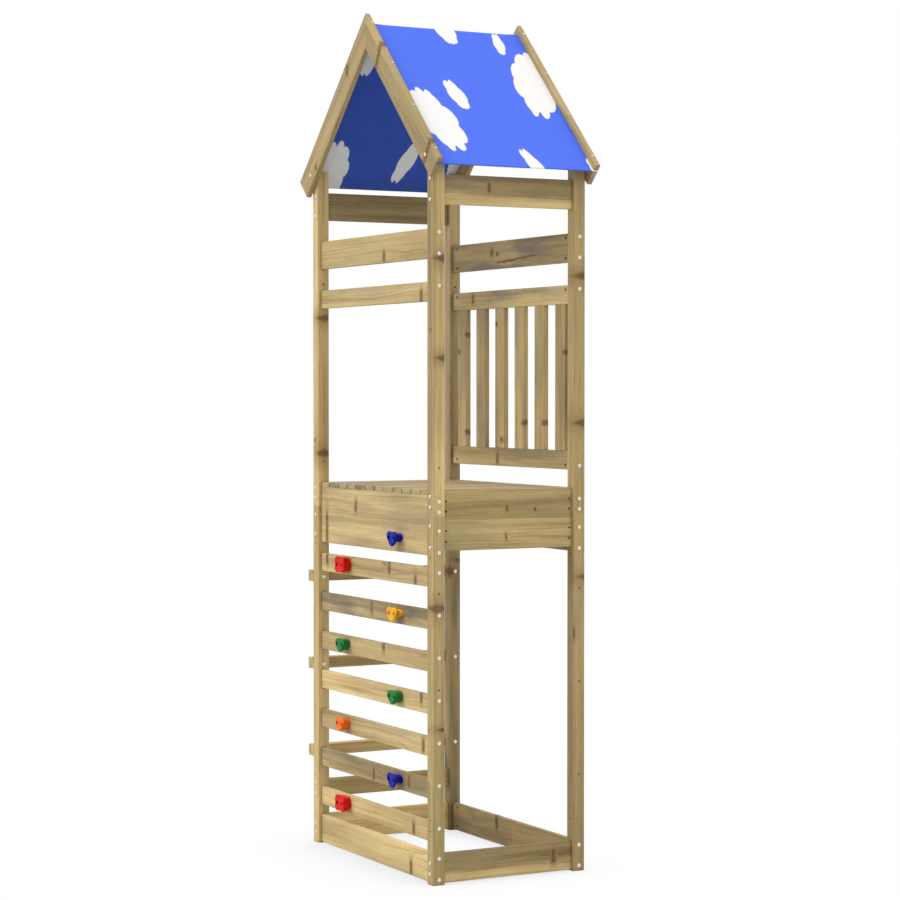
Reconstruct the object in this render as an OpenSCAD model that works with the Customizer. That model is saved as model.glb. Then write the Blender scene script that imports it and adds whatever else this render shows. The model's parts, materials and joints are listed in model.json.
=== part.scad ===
// Wooden climbing frame: a tall tower on four square posts, with a climbing wall at the
// front, a ladder at the left, a slatted deck, a balustrade at the back and a gable roof
// covered by a stretched tarpaulin. Sizes are in millimetres.
// X runs along the climbing wall, which faces -Y. Z is up, and the posts stand on z = 0.

/* [Tower] */
// Width over the posts, along the climbing wall
tower_w = 928; // [760:1:1200]
// Depth over the posts
tower_d = 578; // [480:1:800]
// Height of the posts
post_h = 2408; // [2250:1:2700]
// Side of a square post
post_s = 43; // [36:1:56]
// Height of the front and back deck panels' top edge, which carries the slats
deck_z = 1281; // [1180:1:1340]
// Gap between the ground and the lowest boards
ground_gap = 4; // [2:0.5:10]

/* [Timber] */
// Thickness of the boards
board_t = 18; // [15:0.5:24]
// Height of the narrow boards
narrow_h = 64.5; // [56:0.5:72]
// Height of the wide boards
wide_h = 98.5; // [88:0.5:108]
// Height of the deck panels
panel_h = 199; // [180:1:230]
// Rounding along the edges of the timber
edge_r = 2.5; // [1:0.5:4]

/* [Front and back] */
// Gap between the deck panel and the highest climbing plank
plank_top_gap = 39; // [20:1:60]
// Gap between the bottom board and the lowest climbing plank
plank_foot_gap = 36; // [20:1:60]
// Distance from the top of the posts down to the wide rails
wide_rail_drop = 251; // [220:1:320]
// Gap between a narrow rail and the wide rail over it
rail_gap = 76; // [50:1:90]
// Height of the balustrade's lower rail above the deck panel's top edge
lower_rail_up = 76; // [40:1:90]
// Width of a balustrade slat
baluster_w = 67; // [45:1:80]
// Gap between a back post and the balustrade slat next to it
baluster_end_gap = 37.5; // [20:0.5:60]

/* [Sides] */
// Distance from the top of the posts down to the top side boards
top_board_drop = 75; // [60:1:110]
// Height of the kick board above the lowest climbing plank's lower edge
kick_up = 24; // [20:1:26]
// Side of a square ladder rung
rung_s = 40; // [32:1:46]
// Distance from the highest climbing plank's lower edge down to the middle of the highest rung
rung_drop = 20; // [12:0.5:60]

/* [Deck] */
// Number of deck slats
deck_slat_count = 12; // [10:1:12]
// Width of a deck slat
deck_slat_w = 65; // [50:1:68]
// Thickness of a deck slat
deck_slat_t = 16; // [12:0.5:22]

/* [Roof] */
// Slope of the roof
roof_angle = 45; // [40:1:48]
// Height of a rafter, square to its slope
rafter_h = 61; // [55:1:75]
// Thickness of a rafter
rafter_t = 18; // [15:0.5:24]
// Distance from the post's top down to the rafter's centre line
rafter_drop = 14; // [8:1:20]
// Length of a rafter past the post's centre line
rafter_tail = 76; // [60:1:110]
// Height of the batten that clamps the tarpaulin
batten_h = 22; // [12:0.5:24]
// Width of the batten's lip, which covers the tarpaulin's side edge
batten_lip = 3; // [2:0.5:4]
// Thickness of the tarpaulin
tarp_t = 1.2; // [0.8:0.1:2]
// Length of the tarpaulin past the rafters' lower ends
tarp_overhang = 6; // [1:0.5:12]

/* [Climbing holds] */
// Width that the heads of the holds are shares of
hold_w = 72; // [68:1:78]
// Height that the heads of the holds are shares of
hold_h = 57; // [52:1:60]
// Depth of a hold
hold_depth = 32; // [28:1:42]
// Distance of the holds from the middle of the wall
hold_offset = 203; // [120:1:260]
// Shift of all the holds towards the ladder
hold_shift = 8; // [0:1:20]
// Height of a climbing plank's hold above the plank's middle
hold_up = 4; // [0:0.5:5]
// Height of the deck panel's hold above the panel's lower edge
panel_hold_up = 48; // [38:1:80]
// Distance between the two bolts of a hold
hold_bolt_gap = 38; // [34:1:42]

/* [Fasteners] */
// Diameter of a frame screw's shank
screw_d = 5; // [4:0.1:5.2]
// Diameter of a frame screw's head
screw_head_d = 13; // [9:0.5:14]
// Height of a frame screw's head
screw_head_h = 3; // [2:0.1:4]
// Depth that a frame screw reaches into the timber it holds
screw_bite = 45; // [30:1:50]
// Diameter of the drilled holes in the posts
post_bore_d = 6; // [5.8:0.1:6.6]
// Diameter of the shank of a slat or roof screw
slim_screw_d = 4; // [3.4:0.1:4.4]
// Diameter of the head of a slat or roof screw
slim_head_d = 8; // [7:0.5:10]
// Height of the head of a slat or roof screw
slim_head_h = 2.2; // [1.6:0.1:3]
// Depth that a screw reaches into the end of a balustrade slat
baluster_bite = 30; // [20:1:40]
// Diameter of a hold's bolts
bolt_d = 8; // [6:0.5:8]
// Diameter of a hold bolt's round head
bolt_head_d = 13; // [11:0.5:13]
// Height of a hold bolt's round head
bolt_head_h = 5; // [4:0.5:7]

/* [Hidden] */
$fn = 32;

// Sides of a hexagon, for nuts and drive recesses
HEX = 6;
// Part of a whole that centres it
half_share = 1 / 2;
// Extra length of every cut
overrun = 1;
// Radial room round every screw and bolt
fit_gap = 0.2;
wood = "#b9a06c";
steel = "#d5d2cc";

// Centre lines of the posts, which the boards and their screws share
row_y = (tower_d - post_s) * half_share;
col_x = (tower_w - post_s) * half_share;
inner_w = tower_w - 2 * post_s;
inner_d = tower_d - 2 * post_s;
// Outer faces of the front and back boards
board_face_y = row_y + board_t * half_share;

// Front and back levels, each the lower edge of a board
panel_z = deck_z - panel_h;
bottom_top = ground_gap + wide_h;
plank_count = 7;
plank_low_z = bottom_top + plank_foot_gap;
plank_high_z = panel_z - plank_top_gap - narrow_h;
plank_pitch = (plank_high_z - plank_low_z) / (plank_count - 1);
wide_rail_z = post_h - wide_rail_drop - wide_h;
narrow_rail_z = wide_rail_z - rail_gap - narrow_h;
lower_rail_z = deck_z + lower_rail_up;
function plank_z(i) = plank_high_z - i * plank_pitch;

// Side levels
side_panel_z = panel_z + deck_slat_t;
top_board_z = post_h - top_board_drop - wide_h;
kick_z = plank_low_z + kick_up;

// The lower and upper posts meet part of the way up the deck panels
joint_share = 0.66;
joint_z = panel_z + panel_h * joint_share;

// Screw levels
wide_pair = 70;
side_pair = 36;
rail_screw_up = 17;
panel_screw_shares = [0.06, 0.415, 0.725, 0.9];
spare_hole_drop = 22;
function pair(z, h, gap) = [z + (h - gap) * half_share, z + (h + gap) * half_share];
function panel_levels(z) = [for (s = panel_screw_shares) z + panel_h * s];
function narrow_level(z) = z + narrow_h * half_share + rail_screw_up;
wide_rail_levels = pair(wide_rail_z, wide_h, wide_pair);
front_back_levels = concat(wide_rail_levels, [narrow_level(narrow_rail_z)],
    panel_levels(panel_z), pair(ground_gap, wide_h, wide_pair));
plank_levels = [for (i = [0:plank_count - 1]) narrow_level(plank_z(i))];
lower_rail_level = lower_rail_z + narrow_h * half_share - rail_screw_up;
kick_levels = pair(kick_z, narrow_h, side_pair);
side_levels = concat(pair(top_board_z, wide_h, wide_pair), panel_levels(side_panel_z),
    pair(ground_gap, wide_h, side_pair));

// The lowest rung shares its hole in the front post with a climbing plank's screw
rung_count = 3;
shared_plank = 5;
rung_low_z = plank_levels[shared_plank];
rung_pitch = (plank_high_z - rung_drop - rung_low_z) / (rung_count - 1);
rung_bite = 30;
rung_x = -(tower_w + rung_s) * half_share;
rung_levels = [for (i = [0:rung_count - 1]) rung_low_z + (rung_count - 1 - i) * rung_pitch];

// Holes drilled along X and along Y through a post, alike on every post of a row
front_post_levels = concat(front_back_levels, plank_levels, [lower_rail_level],
    [rung_levels[0], rung_levels[1]]);
back_post_levels = concat(front_back_levels, [lower_rail_level], rung_levels);
side_post_levels = concat(side_levels, kick_levels, [side_panel_z - spare_hole_drop]);

// Barrel nuts, each in a blind hole in the inner face of a front or back board, that the
// screws through the posts run into
screw_past_nut = 12;
barrel_x = inner_w * half_share - screw_bite + screw_past_nut;
barrel_d = 10;
barrel_l = 10;
barrel_depth = (board_t + barrel_l) * half_share;

// Small blind pilot holes in the right panel's face and in the left posts' inner faces
pilot_d = 7;
pilot_depth = 10;
panel_pilot_in = 11;
panel_pilot_shares = [0.15, 0.33, 0.65, 0.82];
post_pilot_up = 23;
post_pilot_z = narrow_rail_z + narrow_h + post_pilot_up;

// Deck slats and balustrade
deck_slat_pitch = inner_w / deck_slat_count;
deck_screw_bite = 12;
deck_slat_l = tower_d - post_s + board_t;
baluster_count = 6;
baluster_pitch = (inner_w - 2 * baluster_end_gap - baluster_w) / (baluster_count - 1);
baluster_z = lower_rail_z + narrow_h;
baluster_l = narrow_rail_z - baluster_z;
function deck_slat_x(i) = (i - (deck_slat_count - 1) * half_share) * deck_slat_pitch;
function baluster_x(i) = (i - (baluster_count - 1) * half_share) * baluster_pitch;

// Roof: distances run along the slope from the ridge and square to it from the rafter's
// centre line
ridge_z = post_h - rafter_drop + col_x * tan(roof_angle);
rafter_end = col_x / cos(roof_angle) + rafter_tail;
rafter_y = (tower_d + rafter_t) * half_share;
tarp_low = rafter_h * half_share;
batten_low = tarp_low + tarp_t;
batten_top = batten_low + batten_h;
batten_start = -batten_top * tan(roof_angle);
ridge_room = batten_top * 2;
roof_w = tower_d + 2 * rafter_t;
sheet_w = roof_w - 2 * batten_lip;
batten_screw_count = 4;
batten_screw_end = 48;
batten_bite = 20;
batten_screw_pitch = (rafter_end - batten_start - 2 * batten_screw_end) / (batten_screw_count - 1);
batten_screw_places = [for (i = [0:batten_screw_count - 1])
    batten_start + batten_screw_end + i * batten_screw_pitch];
rafter_screw_bite = 32;
apex_screw_down = 12;
apex_screw_l = 90;
apex_sink = 5;

// Climbing holds: rings from the plank to the face, as shares of the hold's own sizes
hold_count = plank_count + 1;
hold_colours = ["#1a1f9e", "#d9281c", "#f3b32c", "#2a7d42", "#2a7d42", "#f97a2f", "#1a1f9e", "#d9281c"];
// Kinds of hold: necked with three lobes, full-bodied with four and full-bodied with three
hold_kinds = [0, 1, 0, 2, 2, 2, 0, 1];
kind_width_shares = [0.95, 1.14, 0.88];
kind_height_shares = [0.9, 1.08, 0.82];
kind_lobes = [3, 4, 3];
kind_turns = [-90, 45, -90];
kind_lobe_shares = [0.15, 0.10, 0.13];
necked_width_shares = [0.80, 0.80, 0.76, 0.76, 0.82, 0.96, 1.00, 0.95, 0.84];
necked_height_shares = [0.56, 0.56, 0.52, 0.53, 0.68, 0.92, 1.00, 0.93, 0.78];
full_width_shares = [0.84, 0.86, 0.90, 0.94, 0.97, 0.99, 1.00, 0.95, 0.84];
full_height_shares = [0.80, 0.82, 0.88, 0.93, 0.97, 0.99, 1.00, 0.94, 0.80];
lobe_growth_shares = [0.10, 0.15, 0.35, 0.60, 0.80, 0.95, 1.00, 0.95, 0.80];
hold_depth_shares = [0, 0.08, 0.30, 0.48, 0.62, 0.76, 0.88, 0.96, 1];
hold_face_dip_share = 0.94;
hold_points = 40;
hold_recess = 12;
nut_w = 15;
nut_h = 6;
nut_flange_d = 18;
nut_flange_h = 2;
bolt_tip = 3;
function hold_x(i) = (i % 2 == 0 ? 1 : -1) * hold_offset - hold_shift;
function hold_z(i) = i == 0 ? panel_z + panel_hold_up : plank_z(i - 1) + narrow_h * half_share + hold_up;

// Rounded rectangle, centred
module rounded(a, b, r) {
    square([a - 2 * r, b], center = true);
    square([a, b - 2 * r], center = true);
    for (x = [-1, 1], y = [-1, 1])
        translate([x * (a * half_share - r), y * (b * half_share - r)]) circle(r);
}

// Upright piece of timber from z = 0
module upright(a, b, l) {
    linear_extrude(l) rounded(a, b, edge_r);
}

// Timber along X, centred, t thick in Y and h high in Z from z = 0
module x_timber(l, t, h) {
    translate([-l * half_share, 0, h * half_share]) rotate([0, 90, 0]) upright(h, t, l);
}

// Timber along Y, centred, t thick in X and h high in Z from z = 0
module y_timber(l, t, h) {
    translate([0, l * half_share, h * half_share]) rotate([90, 0, 0]) upright(t, h, l);
}

// Turn an upward thing so that it points along +X, -X, +Y or -Y
module to_x(sign) { rotate([0, sign * 90, 0]) children(); }
module to_y(sign) { rotate([-sign * 90, 0, 0]) children(); }

// Screw with its head above z = 0 and its shank below, with a hexagonal drive recess
module screw(l, d, head_d, head_h) {
    rim_share = 0.55;
    crown_share = 0.66;
    drive_share = 0.40;
    rim_h = head_h * rim_share;
    difference() {
        union() {
            cylinder(d = head_d, h = rim_h);
            translate([0, 0, rim_h]) cylinder(d1 = head_d, d2 = head_d * crown_share, h = head_h - rim_h);
            translate([0, 0, -l]) cylinder(d = d, h = l);
        }
        translate([0, 0, rim_h]) cylinder(d = head_d * drive_share, h = head_h, $fn = HEX);
    }
}

module frame_screw(bite) { screw(bite, screw_d, screw_head_d, screw_head_h); }
module slim_screw(bite) { screw(bite, slim_screw_d, slim_head_d, slim_head_h); }

// Hole below z = 0 for a screw's shank, with room round it
module screw_hole(l, d) {
    translate([0, 0, -l - fit_gap]) cylinder(d = d + 2 * fit_gap, h = l + fit_gap + overrun);
}

// Hole through timber below z = 0 for a slim screw whose head is sunk flush
module sunk_hole(l) {
    screw_hole(l + overrun, slim_screw_d);
    translate([0, 0, -slim_head_h]) cylinder(d = slim_head_d + 2 * fit_gap, h = slim_head_h + overrun);
}

// Flat-bottomed hole below z = 0
module blind_hole(d, depth) {
    translate([0, 0, -depth]) cylinder(d = d, h = depth + overrun);
}

// Post of the full height, drilled at its levels, and cut at the joint
module post(side, face, z0, z1) {
    levels = face < 0 ? front_post_levels : back_post_levels;
    color(wood) translate([side * col_x, face * row_y, 0]) difference() {
        translate([0, 0, z0]) upright(post_s, post_s, z1 - z0);
        for (z = levels) if (z > z0 && z < z1)
            translate([0, 0, z]) to_x(1) cylinder(d = post_bore_d, h = post_s + 2 * overrun, center = true);
        for (z = side_post_levels) if (z > z0 && z < z1)
            translate([0, 0, z]) to_y(1) cylinder(d = post_bore_d, h = post_s + 2 * overrun, center = true);
        if (z1 > joint_z) translate([0, face * post_s * half_share, post_h - rafter_drop])
            to_y(face) screw_hole(rafter_screw_bite, screw_d);
        if (side < 0 && z1 > joint_z) translate([post_s * half_share, 0, post_pilot_z])
            to_x(1) blind_hole(pilot_d, pilot_depth);
    }
}

module lower_post(side, face) { post(side, face, 0, joint_z); }
module upper_post(side, face) { post(side, face, joint_z, post_h); }

// Board between the posts of the front (face -1) or the back (face 1), drilled in its ends and
// for its barrel nuts
module rail(face, z, h, levels) {
    color(wood) difference() {
        translate([0, face * row_y, z]) x_timber(inner_w, board_t, h);
        for (side = [-1, 1], level = levels) {
            translate([side * inner_w * half_share, face * row_y, level])
                to_x(side) screw_hole(screw_bite, screw_d);
            translate([side * barrel_x, face * (row_y - board_t * half_share), level])
                to_y(-face) blind_hole(barrel_d + 2 * fit_gap, barrel_depth);
        }
        children();
    }
}

// Board between the posts of the left (side -1) or the right (side 1), drilled in its ends
module side_board(side, z, h, levels) {
    color(wood) difference() {
        translate([side * col_x, 0, z]) y_timber(inner_d, board_t, h);
        for (face = [-1, 1], level = levels) translate([side * col_x, face * inner_d * half_share, level])
            to_y(face) screw_hole(screw_bite, screw_d);
        children();
    }
}

// Holes for the screws that hold the deck slats, in a panel's top edge
module deck_screw_holes(face) {
    for (i = [0:deck_slat_count - 1]) translate([deck_slat_x(i), face * row_y, deck_z])
        screw_hole(deck_screw_bite, slim_screw_d);
}

// Holes through the boards for a hold's bolts
module hold_bolt_holes(i) {
    for (side = [-1, 1]) translate([hold_x(i) + side * hold_bolt_gap * half_share, -row_y, hold_z(i)])
        to_y(1) cylinder(d = bolt_d + 2 * fit_gap, h = board_t + 2 * overrun, center = true);
}

// Front
module front_wide_rail() { rail(-1, wide_rail_z, wide_h, wide_rail_levels); }
module front_narrow_rail() { rail(-1, narrow_rail_z, narrow_h, [narrow_level(narrow_rail_z)]); }
module front_deck_panel() {
    rail(-1, panel_z, panel_h, panel_levels(panel_z)) {
        deck_screw_holes(-1);
        hold_bolt_holes(0);
    }
}
module front_bottom_board() { rail(-1, ground_gap, wide_h, pair(ground_gap, wide_h, wide_pair)); }
module climbing_plank(i) {
    rail(-1, plank_z(i), narrow_h, [plank_levels[i]]) hold_bolt_holes(i + 1);
}

// Right
module right_top_board() { side_board(1, top_board_z, wide_h, pair(top_board_z, wide_h, wide_pair)); }
module right_deck_panel() {
    side_board(1, side_panel_z, panel_h, panel_levels(side_panel_z))
        for (face = [-1, 1], s = panel_pilot_shares)
            translate([col_x + board_t * half_share, face * (inner_d * half_share - panel_pilot_in),
                side_panel_z + panel_h * s])
                to_x(1) blind_hole(pilot_d, pilot_depth);
}
module right_bottom_board() { side_board(1, ground_gap, wide_h, pair(ground_gap, wide_h, side_pair)); }

// Back
module back_wide_rail() { rail(1, wide_rail_z, wide_h, wide_rail_levels); }
// Outer edge of the balustrade's top rail (end 1) or lower rail (end -1), over a slat's middle,
// where a screw runs through the rail into the slat's end
module at_slat_screw(i, end) {
    translate([baluster_x(i), row_y, end > 0 ? narrow_rail_z + narrow_h : lower_rail_z])
        rotate([end > 0 ? 0 : 180, 0, 0]) children();
}
module balustrade_rail(end, z, level) {
    rail(1, z, narrow_h, [level])
        for (i = [0:baluster_count - 1]) at_slat_screw(i, end) sunk_hole(narrow_h);
}
module balustrade_top_rail() { balustrade_rail(1, narrow_rail_z, narrow_level(narrow_rail_z)); }
module balustrade_lower_rail() { balustrade_rail(-1, lower_rail_z, lower_rail_level); }
module balustrade_slats() {
    color(wood) for (i = [0:baluster_count - 1]) difference() {
        translate([baluster_x(i), row_y, baluster_z]) upright(baluster_w, board_t, baluster_l);
        for (end = [-1, 1]) at_slat_screw(i, end) screw_hole(narrow_h + baluster_bite, slim_screw_d);
    }
}
module back_deck_panel() { rail(1, panel_z, panel_h, panel_levels(panel_z)) deck_screw_holes(1); }
module back_bottom_board() { rail(1, ground_gap, wide_h, pair(ground_gap, wide_h, wide_pair)); }

// Left
module left_top_board() { side_board(-1, top_board_z, wide_h, pair(top_board_z, wide_h, wide_pair)); }
module left_deck_panel() { side_board(-1, side_panel_z, panel_h, panel_levels(side_panel_z)); }
module left_kick_board() { side_board(-1, kick_z, narrow_h, kick_levels); }
module left_bottom_board() { side_board(-1, ground_gap, wide_h, pair(ground_gap, wide_h, side_pair)); }

// Rung outside the left posts; the lowest one is drilled through at the front
module ladder_rung(i) {
    through = i == rung_count - 1;
    color(wood) difference() {
        translate([rung_x, 0, rung_levels[i] - rung_s * half_share]) y_timber(tower_d, rung_s, rung_s);
        for (face = [-1, 1]) translate([-tower_w * half_share, face * row_y, rung_levels[i]])
            to_x(1) screw_hole(through && face < 0 ? rung_s + overrun : rung_bite, screw_d);
    }
}

// Deck slats, resting on the front and back panels
module deck_slats() {
    color(wood) for (i = [0:deck_slat_count - 1]) translate([deck_slat_x(i), 0, deck_z]) difference() {
        y_timber(deck_slat_l, deck_slat_w, deck_slat_t);
        for (face = [-1, 1]) translate([0, face * row_y, deck_slat_t]) sunk_hole(deck_slat_t);
    }
}

// Place things on a roof slope: X runs down it from the ridge and Z is square to it
module on_slope(side) {
    mirror([side < 0 ? 1 : 0, 0, 0]) translate([0, 0, ridge_z]) rotate([0, roof_angle, 0]) children();
}

// Keep what is on one side of the ridge
module cut_at_ridge(side) {
    difference() {
        children();
        translate([side > 0 ? -ridge_room : 0, -roof_w, ridge_z - ridge_room])
            cube([ridge_room, 2 * roof_w, 2 * ridge_room]);
    }
}

// Rafter and batten in one, mitred at the ridge; each is a part of it, so the seam stays tight
module slope_timber(side, face) {
    cut_at_ridge(side) on_slope(side)
        translate([(rafter_end + batten_start) * half_share, face * rafter_y, -tarp_low])
            x_timber(rafter_end - batten_start, rafter_t, tarp_low + batten_top);
}

// Flat piece along a slope, from past the ridge to past the rafters' ends
module slope_slab(side, w, low, high) {
    on_slope(side) translate([batten_start - overrun, -w * half_share, low])
        cube([rafter_end - batten_start + 2 * overrun, w, high - low]);
}

// Holes down through a slope from a height square to it, at the batten screws
module slope_holes(side, face, top, depth) {
    on_slope(side) for (s = batten_screw_places) translate([s, face * rafter_y, top])
        screw_hole(depth, slim_screw_d);
}

// Where the screw that joins two rafters enters the right one, along the left one
module at_apex_screw(face) {
    on_slope(1) translate([apex_screw_down, face * rafter_y, tarp_low])
        rotate([0, 90 - 2 * roof_angle, 0]) children();
}

module rafter(side, face) {
    color(wood) difference() {
        slope_timber(side, face);
        slope_slab(side, 2 * roof_w, tarp_low, 2 * batten_top);
        slope_holes(side, face, tarp_low, batten_bite);
        translate([side * col_x, face * (rafter_y + rafter_t * half_share), post_h - rafter_drop])
            to_y(face) screw_hole(rafter_t + overrun, screw_d);
        at_apex_screw(face) {
            screw_hole(apex_screw_l, slim_screw_d);
            translate([0, 0, -apex_sink]) cylinder(d = slim_head_d + 2 * fit_gap, h = batten_top);
        }
    }
}

// Batten, rebated for the tarpaulin up to the lip at its outer face
module batten(side, face) {
    color(wood) difference() {
        slope_timber(side, face);
        slope_slab(side, 2 * roof_w, -2 * tarp_low, tarp_low);
        slope_slab(side, sheet_w, -tarp_low, batten_low);
        slope_holes(side, face, batten_top, batten_h + overrun);
    }
}

// Tarpaulin: one sheet folded over the ridge and clamped between rafters and battens
module roof_tarp() {
    color("#4d6bf0") difference() {
        union() for (side = [-1, 1]) cut_at_ridge(side) on_slope(side)
            translate([batten_start, -sheet_w * half_share, tarp_low])
                cube([rafter_end + tarp_overhang - batten_start, sheet_w, tarp_t]);
        for (side = [-1, 1], face = [-1, 1]) slope_holes(side, face, batten_top, batten_top);
    }
}

// Lobed hold as a loft of rings from the plank outwards
function hold_ring(k, kind) =
    let (w = hold_w * kind_width_shares[kind] * (kind == 0 ? necked_width_shares : full_width_shares)[k],
        h = hold_h * kind_height_shares[kind] * (kind == 0 ? necked_height_shares : full_height_shares)[k],
        lobe = kind_lobe_shares[kind] * lobe_growth_shares[k])
    [for (j = [0:hold_points - 1])
        let (a = 360 * j / hold_points, r = 1 + lobe * cos(kind_lobes[kind] * (a - kind_turns[kind])))
        [w * half_share * r * cos(a), h * half_share * r * sin(a), hold_depth * hold_depth_shares[k]]];
module hold_body(kind) {
    last = len(hold_depth_shares) - 1;
    rings = [for (k = [0:last]) each hold_ring(k, kind)];
    ends = [[0, 0, 0], [0, 0, hold_depth * hold_face_dip_share]];
    n = hold_points;
    base_centre = len(rings);
    walls = [for (k = [0:last - 1], j = [0:n - 1]) let (a = k * n + j, b = k * n + (j + 1) % n)
        each [[a, a + n, b], [b, a + n, b + n]]];
    caps = [for (j = [0:n - 1]) let (m = (j + 1) % n)
        each [[base_centre, j, m], [base_centre + 1, last * n + m, last * n + j]]];
    polyhedron(concat(rings, ends), concat(walls, caps));
}
module at_hold(i) {
    translate([hold_x(i), -board_face_y, hold_z(i)]) to_y(-1) children();
}
module climbing_hold(i) {
    color(hold_colours[i]) at_hold(i) difference() {
        hold_body(hold_kinds[i]);
        for (side = [-1, 1]) translate([side * hold_bolt_gap * half_share, 0, 0]) {
            translate([0, 0, -overrun]) cylinder(d = bolt_d + 2 * fit_gap, h = hold_depth);
            translate([0, 0, hold_depth - hold_recess])
                cylinder(d = bolt_head_d + 2 * fit_gap, h = hold_depth);
        }
    }
}

// Round-headed bolts of the holds, each with a flanged nut behind the board
module hold_bolts() {
    drive_share = 0.45;
    color(steel) for (i = [0:hold_count - 1]) at_hold(i) for (side = [-1, 1])
        translate([side * hold_bolt_gap * half_share, 0, 0]) {
            seat = hold_depth - hold_recess;
            reach = board_t + nut_h + bolt_tip;
            difference() {
                union() {
                    translate([0, 0, seat]) cylinder(d = bolt_head_d, h = bolt_head_h);
                    translate([0, 0, -reach]) cylinder(d = bolt_d, h = reach + seat);
                }
                translate([0, 0, seat + bolt_head_h * half_share])
                    cylinder(d = bolt_head_d * drive_share, h = bolt_head_h, $fn = HEX);
            }
            translate([0, 0, -board_t]) mirror([0, 0, 1]) difference() {
                union() {
                    cylinder(d = nut_flange_d, h = nut_flange_h);
                    cylinder(d = nut_w, h = nut_h, $fn = HEX);
                }
                translate([0, 0, -overrun]) cylinder(d = bolt_d + 2 * fit_gap, h = nut_h + 2 * overrun);
            }
        }
}

// Levels of the screws in the ends of the front (face -1) or the back (face 1) boards
function rail_levels(face) =
    concat(front_back_levels, face < 0 ? plank_levels : [lower_rail_level]);

// Barrel nuts in the front and back boards, with their cross holes for the screws
module barrel_nuts() {
    color(steel) for (side = [-1, 1], face = [-1, 1], z = rail_levels(face))
        translate([side * barrel_x, face * row_y, z]) difference() {
            to_y(1) cylinder(d = barrel_d, h = barrel_l, center = true);
            to_x(1) cylinder(d = screw_d + 2 * fit_gap, h = barrel_d + 2 * overrun, center = true);
        }
}

// Screws through the posts into the ends of the front and back boards
module rail_screws() {
    color(steel) for (side = [-1, 1], face = [-1, 1]) {
        shared = side < 0 ? rung_low_z : 0;
        for (z = rail_levels(face)) if (!(face < 0 && z == shared))
            translate([side * tower_w * half_share, face * row_y, z])
                to_x(side) frame_screw(post_s + screw_bite);
    }
}

// Screws through the posts into the ends of the side boards
module side_board_screws() {
    color(steel) for (side = [-1, 1], face = [-1, 1])
        for (z = side < 0 ? concat(side_levels, kick_levels) : side_levels)
            translate([side * col_x, face * tower_d * half_share, z])
                to_y(face) frame_screw(post_s + screw_bite);
}

// Screws of the rungs: from inside the posts, but through the lowest rung at the front
module rung_screws() {
    color(steel) for (i = [0:rung_count - 1], face = [-1, 1])
        if (i == rung_count - 1 && face < 0)
            translate([rung_x - rung_s * half_share, -row_y, rung_levels[i]])
                to_x(-1) frame_screw(rung_s + post_s + screw_bite);
        else
            translate([-inner_w * half_share, face * row_y, rung_levels[i]])
                to_x(1) frame_screw(post_s + rung_bite);
}

// Sunk screws of the deck slats and of the balustrade slats
module slat_screws() {
    color(steel) {
        for (i = [0:deck_slat_count - 1], face = [-1, 1])
            translate([deck_slat_x(i), face * row_y, deck_z + deck_slat_t - slim_head_h])
                slim_screw(deck_slat_t - slim_head_h + deck_screw_bite);
        for (i = [0:baluster_count - 1], end = [-1, 1]) at_slat_screw(i, end)
            translate([0, 0, -slim_head_h]) slim_screw(narrow_h - slim_head_h + baluster_bite);
    }
}

// Screws of the rafters, of the rafters' meeting ends and of the battens
module roof_screws() {
    color(steel) for (face = [-1, 1]) {
        for (side = [-1, 1]) {
            translate([side * col_x, face * (rafter_y + rafter_t * half_share), post_h - rafter_drop])
                to_y(face) frame_screw(rafter_t + rafter_screw_bite);
            on_slope(side) for (s = batten_screw_places) translate([s, face * rafter_y, batten_top])
                slim_screw(batten_h + tarp_t + batten_bite);
        }
        at_apex_screw(face) translate([0, 0, -apex_sink]) slim_screw(apex_screw_l - apex_sink);
    }
}

lower_post(-1, -1);  // post_front_left_lower
upper_post(-1, -1);  // post_front_left_upper
lower_post(1, -1);  // post_front_right_lower
upper_post(1, -1);  // post_front_right_upper
lower_post(-1, 1);  // post_back_left_lower
upper_post(-1, 1);  // post_back_left_upper
lower_post(1, 1);  // post_back_right_lower
upper_post(1, 1);  // post_back_right_upper
front_wide_rail();
front_narrow_rail();
front_deck_panel();
front_bottom_board();
for (i = [0:plank_count - 1])
    climbing_plank(i);
right_top_board();
right_deck_panel();
right_bottom_board();
back_wide_rail();
balustrade_top_rail();
balustrade_lower_rail();
balustrade_slats();
back_deck_panel();
back_bottom_board();
left_top_board();
left_deck_panel();
left_kick_board();
left_bottom_board();
for (i = [0:rung_count - 1])
    ladder_rung(i);
deck_slats();
rafter(-1, -1);  // rafter_front_left
rafter(1, -1);  // rafter_front_right
rafter(-1, 1);  // rafter_back_left
rafter(1, 1);  // rafter_back_right
batten(-1, -1);  // batten_front_left
batten(1, -1);  // batten_front_right
batten(-1, 1);  // batten_back_left
batten(1, 1);  // batten_back_right
roof_tarp();
for (i = [0:hold_count - 1])
    climbing_hold(i);
rail_screws();
barrel_nuts();
side_board_screws();
rung_screws();
slat_screws();
roof_screws();
hold_bolts();
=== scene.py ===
"""Looks of the wooden climbing frame: timber, zinc, moulded holds and a printed tarpaulin, in metres."""
import json
import math
import random
from collections import namedtuple

import bmesh
import bpy
from mathutils import Matrix, Vector


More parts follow.
